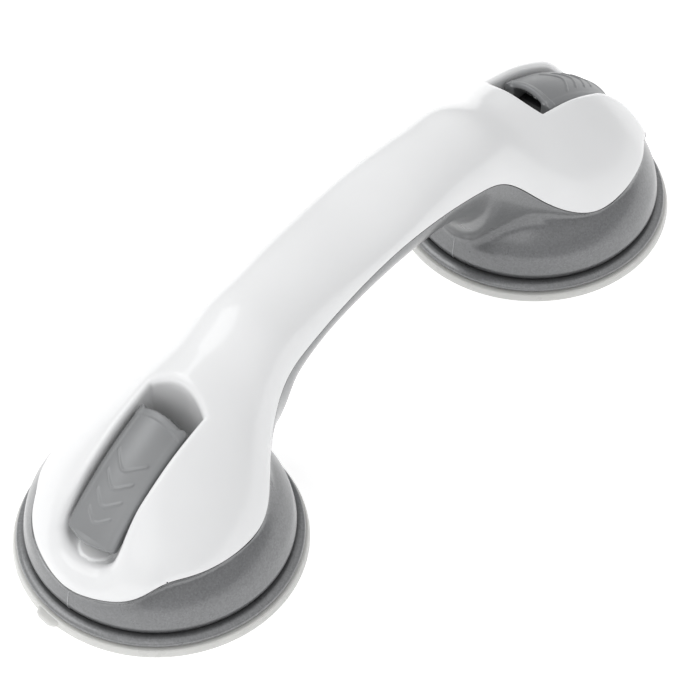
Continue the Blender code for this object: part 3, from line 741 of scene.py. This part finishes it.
def add_node(nodes, kind, **values):
    """New node; names that match an input set that input, the others set an attribute."""
    node = nodes.new(kind)
    for key, value in values.items():
        label = key.replace("_", " ").title()
        if label in node.inputs:
            node.inputs[label].default_value = value
        else:
            setattr(node, key, value)
    return node


def grain(nodes, links, shader, scale, detail, height_mm, strength, rough_low, rough_high):
    """Noise in object space that drives a little bump and roughness."""
    coords = nodes.new("ShaderNodeTexCoord")
    noise = add_node(nodes, "ShaderNodeTexNoise", scale=scale, detail=detail)
    links.new(coords.outputs["Object"], noise.inputs["Vector"])
    bump = add_node(nodes, "ShaderNodeBump", strength=strength, distance=height_mm * MM)
    links.new(noise.outputs["Fac"], bump.inputs["Height"])
    links.new(bump.outputs["Normal"], shader.inputs["Normal"])
    spread = nodes.new("ShaderNodeMapRange")
    spread.inputs["To Min"].default_value = rough_low
    spread.inputs["To Max"].default_value = rough_high
    links.new(noise.outputs["Fac"], spread.inputs["Value"])
    links.new(spread.outputs["Result"], shader.inputs["Roughness"])
    return noise, coords


def two_tones(nodes, links, factor, dark, light):
    """Colour that goes from dark to light with the factor."""
    tint = nodes.new("ShaderNodeValToRGB")
    tint.color_ramp.elements[0].color = (*dark, 1)
    tint.color_ramp.elements[1].color = (*light, 1)
    links.new(factor, tint.inputs["Fac"])
    return tint.outputs["Color"]


def paint_crease_shade(nodes, links, colour, shader, shade_reach_mm):
    """Base colour times ambient occlusion: painted shade in grooves narrower than about the given reach in
    millimetres.
    """
    shade = nodes.new("ShaderNodeAmbientOcclusion")
    shade.samples = 8
    shade.inputs["Distance"].default_value = shade_reach_mm * MM
    dark = nodes.new("ShaderNodeMix")
    dark.data_type = "RGBA"
    dark.blend_type = "MULTIPLY"
    dark.inputs["Factor"].default_value = 1.0
    links.new(colour, dark.inputs[6])
    links.new(shade.outputs["AO"], dark.inputs[7])
    links.new(dark.outputs[2], shader.inputs["Base Color"])


def white_gloss():
    """Glossy moulded plastic with a faint long-wave ripple."""
    material, nodes, links, shader = new_material("white_gloss_plastic")
    noise, _ = grain(nodes, links, shader, 60, 2, 0.02, 0.25, 0.16, 0.24)
    tint = two_tones(nodes, links, noise.outputs["Fac"], (0.77, 0.775, 0.78), (0.80, 0.805, 0.81))
    links.new(tint, shader.inputs["Base Color"])
    shader.inputs["Subsurface Weight"].default_value = 0.08
    shader.inputs["Subsurface Radius"].default_value = (0.003, 0.003, 0.003)
    shader.inputs["Coat Weight"].default_value = 0.3
    shader.inputs["Coat Roughness"].default_value = 0.08
    return material


def grey_pearl(name, shade_reach_mm, brightness):
    """Silver-grey plastic with fine metallic flakes under a clear gloss, and painted shade in its creases.
    """
    material, nodes, links, shader = new_material(name)
    _, coords = grain(nodes, links, shader, 90, 3, 0.015, 0.2, 0.24, 0.34)
    flakes = add_node(nodes, "ShaderNodeTexVoronoi", scale=1800)
    links.new(coords.outputs["Object"], flakes.inputs["Vector"])
    # brightness scales the whole tone; above 1 it makes a lighter copy that is painted light
    dark, light = ([level * brightness * tone for tone in (1, 1.02, 1.045)] for level in (0.150, 0.205))
    tint = two_tones(nodes, links, flakes.outputs["Color"], dark, light)
    paint_crease_shade(nodes, links, tint, shader, shade_reach_mm)
    shader.inputs["Metallic"].default_value = 0.35
    shader.inputs["Coat Weight"].default_value = 0.5
    shader.inputs["Coat Roughness"].default_value = 0.12
    return material


def lever_satin():
    """Satin mid-grey plastic with a fine even grain."""
    material, nodes, links, shader = new_material("lever_grey_plastic")
    _, coords = grain(nodes, links, shader, 900, 4, 0.01, 0.3, 0.36, 0.48)
    broad = add_node(nodes, "ShaderNodeTexNoise", scale=45, detail=2)
    links.new(coords.outputs["Object"], broad.inputs["Vector"])
    tint = two_tones(nodes, links, broad.outputs["Fac"], (0.22, 0.225, 0.23), (0.27, 0.275, 0.28))
    links.new(tint, shader.inputs["Base Color"])
    shader.inputs["Metallic"].default_value = 0.35
    return material


def soft_vinyl():
    """Milky translucent vinyl."""
    material, nodes, links, shader = new_material("clear_soft_vinyl")
    noise, _ = grain(nodes, links, shader, 120, 3, 0.004, 0.2, 0.22, 0.36)
    tint = two_tones(nodes, links, noise.outputs["Fac"], (0.62, 0.62, 0.605), (0.68, 0.68, 0.66))
    links.new(tint, shader.inputs["Base Color"])
    shader.inputs["IOR"].default_value = 1.5
    shader.inputs["Subsurface Weight"].default_value = 0.6
    shader.inputs["Subsurface Radius"].default_value = (0.006, 0.006, 0.006)
    return material


def brushed_steel():
    """Bright steel with fine turning marks."""
    material, nodes, links, shader = new_material("bright_steel")
    coords = nodes.new("ShaderNodeTexCoord")
    stretch = nodes.new("ShaderNodeMapping")
    stretch.inputs["Scale"].default_value = (1, 1, 12)
    links.new(coords.outputs["Object"], stretch.inputs["Vector"])
    marks = add_node(nodes, "ShaderNodeTexNoise", scale=400, detail=3)
    links.new(stretch.outputs["Vector"], marks.inputs["Vector"])
    rough = nodes.new("ShaderNodeMapRange")
    rough.inputs["To Min"].default_value = 0.2
    rough.inputs["To Max"].default_value = 0.38
    links.new(marks.outputs["Fac"], rough.inputs["Value"])
    links.new(rough.outputs["Result"], shader.inputs["Roughness"])
    tint = two_tones(nodes, links, marks.outputs["Fac"], (0.50, 0.50, 0.51), (0.66, 0.66, 0.67))
    links.new(tint, shader.inputs["Base Color"])
    shader.inputs["Metallic"].default_value = 1.0
    return material


def acetal():
    """Black acetal: slightly waxy."""
    material, nodes, links, shader = new_material("black_acetal")
    noise, _ = grain(nodes, links, shader, 200, 3, 0.02, 0.3, 0.38, 0.5)
    tint = two_tones(nodes, links, noise.outputs["Fac"], (0.012, 0.012, 0.013), (0.02, 0.02, 0.021))
    links.new(tint, shader.inputs["Base Color"])
    return material


def floor_paint():
    """White paper that glows a little."""
    material, nodes, links, shader = new_material("studio_floor")
    grain(nodes, links, shader, 8, 2, 0.02, 0.1, 0.85, 0.95)
    shader.inputs["Base Color"].default_value = (0.92, 0.92, 0.92, 1)
    shader.inputs["Emission Color"].default_value = (1, 1, 1, 1)
    shader.inputs["Emission Strength"].default_value = 0.45
    return material


def finish_nodes(steel, plastic):
    """Gives the CAD nodes that stay their materials."""
    for name, obj in frame["nodes"].items():
        if obj.hide_render:
            continue
        material = plastic if name.endswith(("stem", "guide_bush")) else steel
        obj.data.materials.clear()
        obj.data.materials.append(material)
        obj.data.shade_smooth()
        obj.data.set_sharp_from_angle(angle=math.radians(NODE_SHARP))


# ---------------------------------------------------------------- stage

def area_light(name, place, size, power):
    lamp = bpy.data.lights.new(name, "AREA")
    lamp.shape = "RECTANGLE"
    lamp.size, lamp.size_y = size
    lamp.energy = power
    obj = bpy.data.objects.new(name, lamp)
    obj.location = place
    obj.rotation_euler = (Vector(LAMP_TARGET) - Vector(place)).to_track_quat("-Z", "Y").to_euler()
    bpy.context.scene.collection.objects.link(obj)


def make_floor():
    corners = [(x * FLOOR_HALF, y * FLOOR_HALF, 0) for x, y in ((-1, -1), (1, -1), (1, 1), (-1, 1))]
    mesh = bpy.data.meshes.new("floor")
    mesh.from_pydata(corners, [], [(0, 1, 2, 3)])
    mesh.materials.append(floor_paint())
    floor = bpy.data.objects.new("floor", mesh)
    floor.location.z = -FLOOR_DROP
    bpy.context.scene.collection.objects.link(floor)


def make_room():
    """World that is brightest overhead and a little to one side, and two large soft lamps."""
    world = bpy.data.worlds.new("studio")
    world.use_nodes = True
    nodes, links = world.node_tree.nodes, world.node_tree.links
    coords = nodes.new("ShaderNodeTexCoord")
    towards = nodes.new("ShaderNodeVectorMath")
    towards.operation = "DOT_PRODUCT"
    towards.inputs[1].default_value = BRIGHT_SIDE
    ramp = nodes.new("ShaderNodeValToRGB")
    links.new(coords.outputs["Generated"], towards.inputs[0])
    links.new(towards.outputs["Value"], ramp.inputs["Fac"])
    links.new(ramp.outputs["Color"], nodes["Background"].inputs["Color"])
    ramp.color_ramp.elements[0].color = DIM
    ramp.color_ramp.elements[1].position = BRIGHT_FROM
    ramp.color_ramp.elements[1].color = BRIGHT
    nodes["Background"].inputs["Strength"].default_value = ROOM_STRENGTH
    bpy.context.scene.world = world
    for name, place, size, power in LAMPS:
        area_light(name, place, size, power)
    bpy.context.scene.view_settings.view_transform = "Standard"


def make_camera():
    camera = bpy.data.cameras.new("camera")
    camera.sensor_width = SENSOR
    camera.lens = LENS
    camera.shift_x, camera.shift_y = LENS_SHIFT
    camera.clip_start, camera.clip_end = 0.05, 20
    obj = bpy.data.objects.new("camera", camera)
    azimuth, elevation, roll = math.radians(AZIMUTH), math.radians(ELEVATION), math.radians(ROLL)
    obj.location = CAMERA_PLACE
    turn = Matrix.Rotation(azimuth, 3, "Z") @ Matrix.Rotation(math.pi / 2 - elevation, 3, "X")
    obj.rotation_euler = (turn @ Matrix.Rotation(roll, 3, "Z")).to_euler()
    bpy.context.scene.collection.objects.link(obj)
    bpy.context.scene.camera = obj


# ---------------------------------------------------------------- build

white, lever_grey, vinyl = white_gloss(), lever_satin(), soft_vinyl()
# grey shell: its own tone, with painted shade in grooves up to about 5 mm across
grey = grey_pearl("grey_pearl_plastic", 5.0, 1.0)
# clamping ring: painted shade in its groove, and the grey made 15% lighter as painted light for the
# highlight along its bead
grey_ring = grey_pearl("grey_pearl_ring", 2.5, 1.15)
# mould lines: the grey 2.2 times lighter, a painted highlight along the fine ridge, with almost no painted
# shade
painted_highlight_grey = grey_pearl("grey_pearl_line_painted_highlight", 0.1, 2.2)
make_shell("upper_shell", white, upper_field, UPPER_BOX, UPPER_STEP,
           ((raised_crown, under_joint),))
make_shell("lower_shell", grey, lower_field, LOWER_BOX, LOWER_STEP,
           ((lower_outer, over_lid), (lower_outer, under_foot)))
make_levers(lever_grey)
for cup_label, cup_side in SIDES:
    make_ring(cup_label, cup_side, grey_ring)
    make_cup(cup_label, cup_side, vinyl)
    make_tab(cup_label, cup_side, vinyl)
    for cup_end in (1, -1):
        make_parting_line(cup_label, cup_side, cup_end, painted_highlight_grey)
finish_nodes(brushed_steel(), acetal())
make_floor()
make_room()
make_camera()
